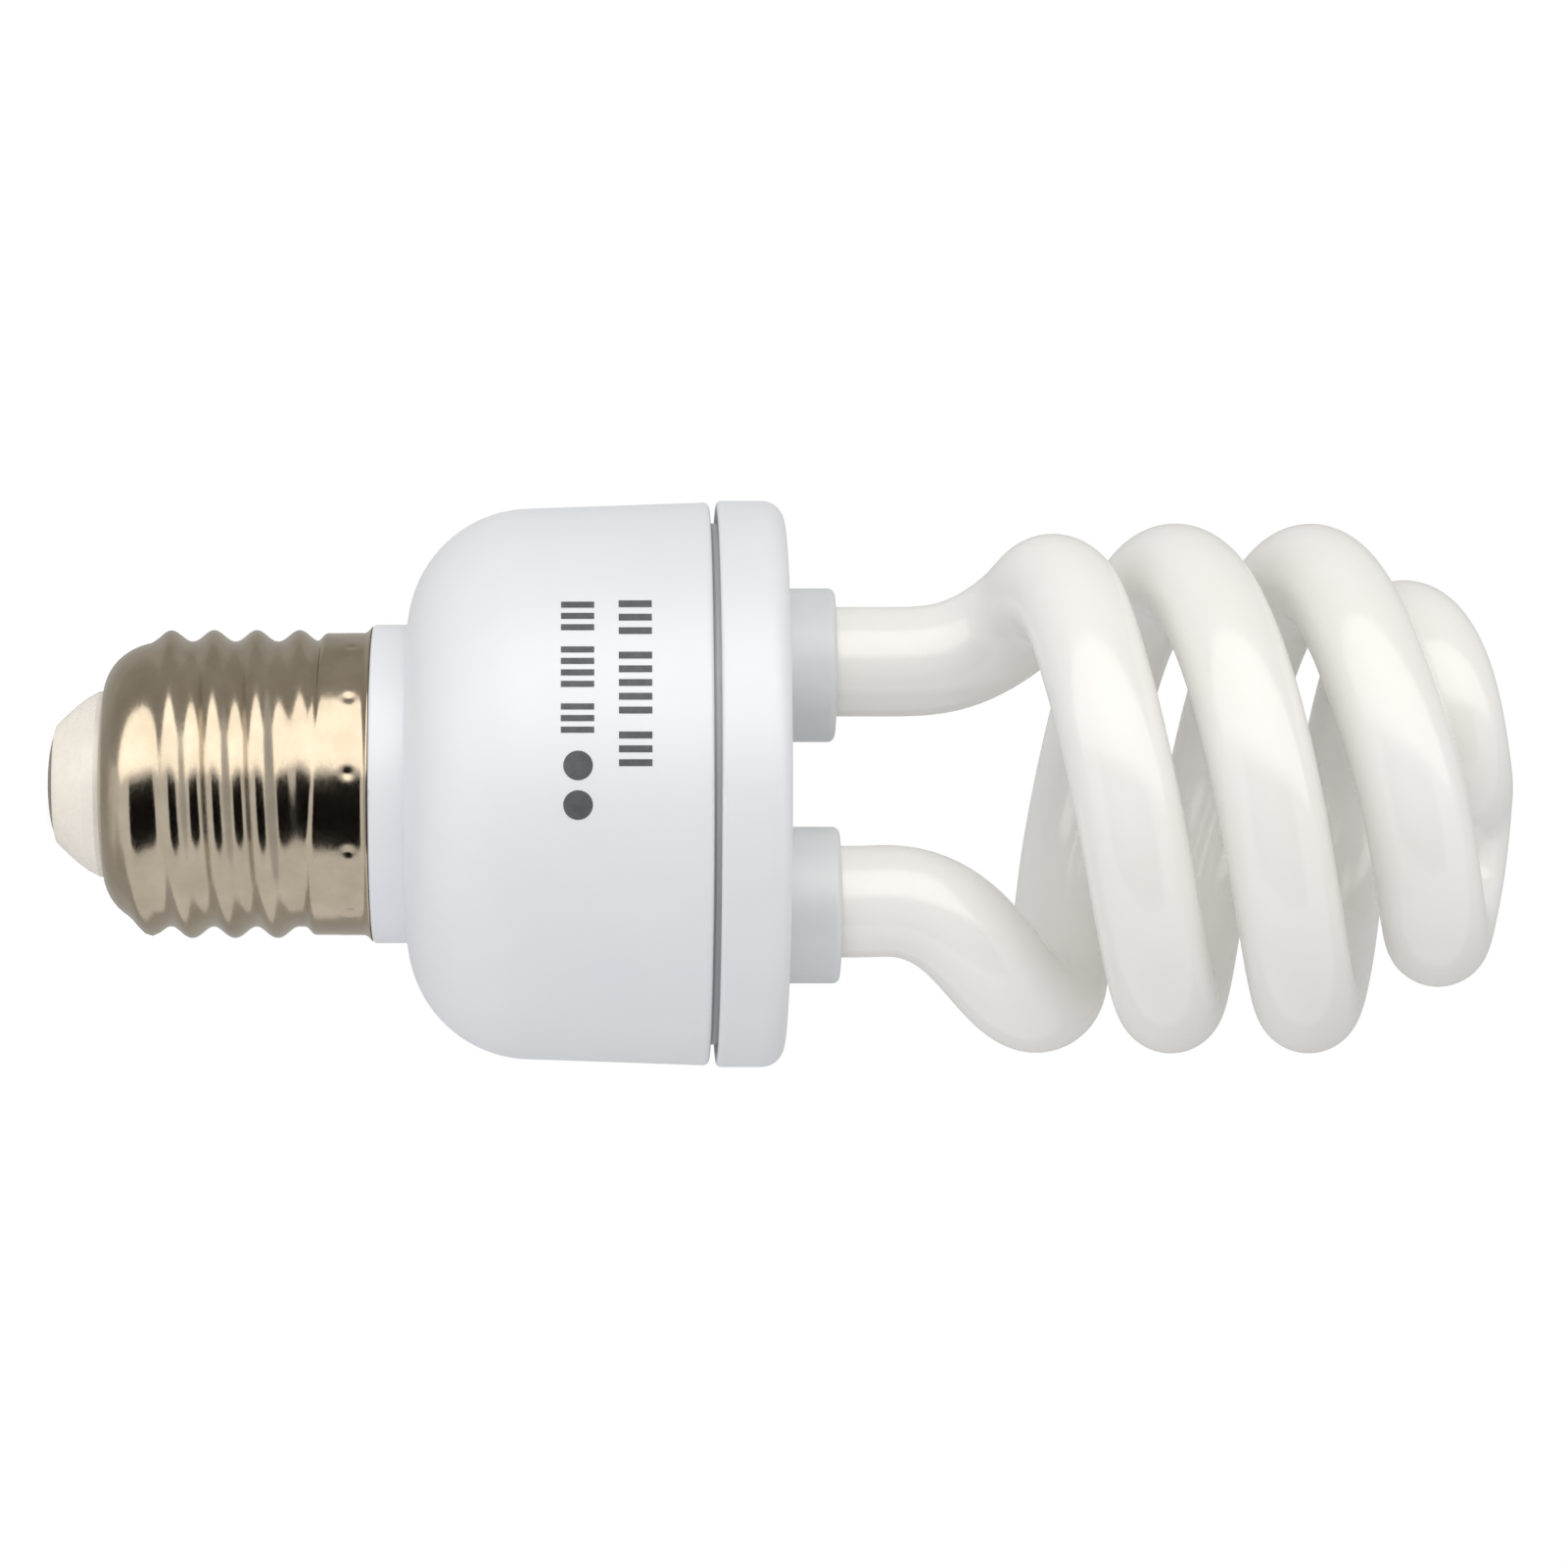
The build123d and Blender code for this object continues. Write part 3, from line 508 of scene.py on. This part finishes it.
def onHousing(x, z, inward):
    # The place on the housing's side that the camera sees at x and z, this far below the ink
    share = (z - padPrint["shoulderZ"]) / (padPrint["rimZ"] - padPrint["shoulderZ"])
    radius = padPrint["sideR"] + padPrint["draft"] * share + padPrint["proud"] - inward
    return Vector((x, -sqrt(radius ** 2 - x ** 2), z)) * mm


def printMesh():
    mesh = bmesh.new()

    def stamp(verts, place):
        # Closes a flat shape into a film of ink that follows the housing
        faces = list(dict.fromkeys(face for vert in verts for face in vert.link_faces))
        made = bmesh.ops.extrude_face_region(mesh, geom=faces, use_keep_orig=True)["geom"]
        under = [item for item in made if isinstance(item, bmesh.types.BMVert)]
        for layer, inward in ((verts, 0.0), (under, padPrint["film"])):
            for vert in layer:
                vert.co = onHousing(*place(vert.co.copy()), inward)

    columns, rows = padPrint["barCells"]
    for lowZ, highZ, x, wide, gap, groups in padPrint["rows"]:
        for bars in groups:
            for _ in range(bars):
                bar = bmesh.ops.create_grid(mesh, x_segments=columns, y_segments=rows, size=1.0)
                stamp(bar["verts"], lambda flat: (x + wide * (flat.x + 1) / 2,
                                                  lowZ + (highZ - lowZ) * (flat.y + 1) / 2))
                x += wide + gap
            x += padPrint["groupGap"]
    for z, x, radius in padPrint["discs"]:
        disc = bmesh.ops.create_circle(mesh, cap_ends=True, segments=padPrint["discSides"],
                                       radius=radius)
        stamp(disc["verts"], lambda flat: (x + flat.x, z + flat.y))
    return mesh


addPiece("ratingPrint", printMesh(), newSurface("padInk", padInk), smooth=False)

# The studio, in metres: camera, floor and room
studio = {
    "cameraFromAxis": 0.458, "cameraAlong": 0.0458, "lens": 123.6, "sensor": 36.0, "shift": 0.125,
    "clipStart": 0.01, "middleZ": 0.062,
    "floorRadius": 0.15, "floorSides": 96, "floorDrop": 0.00002, "floorColour": "#F2F2F2",
    "floorGlow": 0.28, "floorGlowSeen": 0.8, "worldColour": "#FCFCFD", "worldLevel": 0.67,
    "cardColour": "#0C0A09",
}
middle = Vector((0, 0, studio["middleZ"]))


def paleFloor():
    # Pale matt sweep that glows a little, like a light table, so that the lamp's low end isn't dark
    material, tree = emptyMaterial("paleFloor")
    matt = addNode(tree, "ShaderNodeBsdfDiffuse", {"Color": studio["floorColour"]}, 0)
    seen = addNode(tree, "ShaderNodeLightPath", {}, "Is Camera Ray")
    strength = addNode(tree, "ShaderNodeMapRange", {
        "Value": seen, "To Min": studio["floorGlow"], "To Max": studio["floorGlowSeen"]}, 0)
    glow = addNode(tree, "ShaderNodeEmission", {"Strength": strength}, 0)
    both = addNode(tree, "ShaderNodeAddShader", {0: matt, 1: glow}, 0)
    addNode(tree, "ShaderNodeOutputMaterial", {"Surface": both})
    return material


def studioWorld():
    # A white room: plain light on the lamp, and pure white where the camera or a mirror sees it
    world = bpy.data.worlds.new("studioWorld")
    world.use_nodes = True
    tree = world.node_tree
    tree.nodes.clear()
    rays = addNode(tree, "ShaderNodeLightPath", {})
    seen = 0.0
    for way in ("Is Camera Ray", "Is Glossy Ray", "Is Transmission Ray"):
        seen = addNode(tree, "ShaderNodeMath", {0: seen, 1: rays.outputs[way]}, 0,
                       {"operation": "MAXIMUM"})
    soft = addNode(tree, "ShaderNodeBackground", {
        "Color": studio["worldColour"], "Strength": studio["worldLevel"]}, 0)
    white = addNode(tree, "ShaderNodeBackground", {"Color": "#FFFFFF", "Strength": 1.0}, 0)
    mix = addNode(tree, "ShaderNodeMixShader", {0: seen, 1: soft, 2: white}, 0)
    addNode(tree, "ShaderNodeOutputWorld", {"Surface": mix})
    return world


floorMesh = bmesh.new()
bmesh.ops.create_circle(floorMesh, cap_ends=True, segments=studio["floorSides"],
                        radius=studio["floorRadius"])
bmesh.ops.translate(floorMesh, verts=floorMesh.verts, vec=(0, 0, -studio["floorDrop"]))
studioFloor = addObject("studioFloor", finishedMesh("studioFloor", floorMesh, paleFloor()))
studioFloor.visible_glossy = False
bpy.context.scene.world = studioWorld()

lamps = [
    # name, towards the lamp from here, width and length, power, colour
    ("upperSoftbox", (-0.4, -0.54, 0.16), (0.46, 0.7), 1.6, "#FFFBF3"),
    ("lowerFill", (0.6, -0.2, 0.1), (0.4, 0.5), 0.05, "#FAFBFF"),
]
for name, at, (wide, long), power, tint in lamps:
    lampData = bpy.data.lights.new(name, "AREA")
    lampData.shape = "RECTANGLE"
    lampData.size, lampData.size_y = wide, long
    lampData.energy = power
    lampData.color = toLinear(tint)[:3]
    lamp = addObject(name, lampData)
    lamp.visible_glossy = False
    back = Vector(at).normalized()
    across = Vector((0, 0, 1)).cross(back).normalized()
    turn = Matrix((across, back.cross(across), back)).transposed().to_4x4()
    lamp.matrix_world = Matrix.Translation(middle + Vector(at)) @ turn

# Long cards that only mirrors see: a cream one above the camera, a black one below it, and
# grey ones on top and behind, for the cap's streaks
cards = [
    # name, towards the card from the lamp, half width and half length, hex colour, glow
    ("creamCard", (-0.354, -0.421), (0.29, 4.0), "#FFFCF6", 2.5),
    ("blackCard", (0.19, -0.463), (0.27, 0.52), "#0C0A09", 0.0),
    ("greyCard", (-0.55, 0.08), (0.32, 4.0), "#F4F1EC", 0.5),
    ("backCard", (0.0, 0.6), (0.9, 4.0), "#EFEDE8", 0.6),
]
for name, (x, y), (wide, long), tint, glow in cards:
    glowing, tree = emptyMaterial(name)
    shader = addNode(tree, "ShaderNodeBsdfPrincipled", {
        "Base Color": studio["cardColour"], "Roughness": 1.0, "Specular IOR Level": 0.0,
        "Emission Color": tint, "Emission Strength": glow}, 0)
    addNode(tree, "ShaderNodeOutputMaterial", {"Surface": shader})
    away = Vector((x, y, 0))
    back = away.normalized()
    turn = Matrix((Vector((0, 0, 1)).cross(back), (0, 0, 1), back)).transposed().to_4x4()
    cardMesh = bmesh.new()
    bmesh.ops.create_grid(cardMesh, x_segments=1, y_segments=1, size=1.0)
    bmesh.ops.scale(cardMesh, verts=cardMesh.verts, vec=(wide, long, 1))
    bmesh.ops.transform(cardMesh, verts=cardMesh.verts,
                        matrix=Matrix.Translation(middle + away) @ turn)
    card = addObject(name, finishedMesh(name, cardMesh, glowing))
    for way in ("camera", "diffuse", "transmission", "volume_scatter", "shadow"):
        setattr(card, "visible_" + way, False)

cameraData = bpy.data.cameras.new("camera")
cameraData.lens = studio["lens"]
cameraData.sensor_width = studio["sensor"]
cameraData.shift_x = studio["shift"]
cameraData.clip_start = studio["clipStart"]
camera = addObject("camera", cameraData)
# The picture's right is the lamp's +Z and its upper side the lamp's -X
cameraTurn = Matrix(((0, -1, 0), (0, 0, -1), (1, 0, 0))).to_4x4()
cameraPlace = (0, -studio["cameraFromAxis"], studio["cameraAlong"])
camera.matrix_world = Matrix.Translation(cameraPlace) @ cameraTurn
bpy.context.scene.camera = camera
bpy.context.scene.view_settings.view_transform = "Standard"
print("studio set")
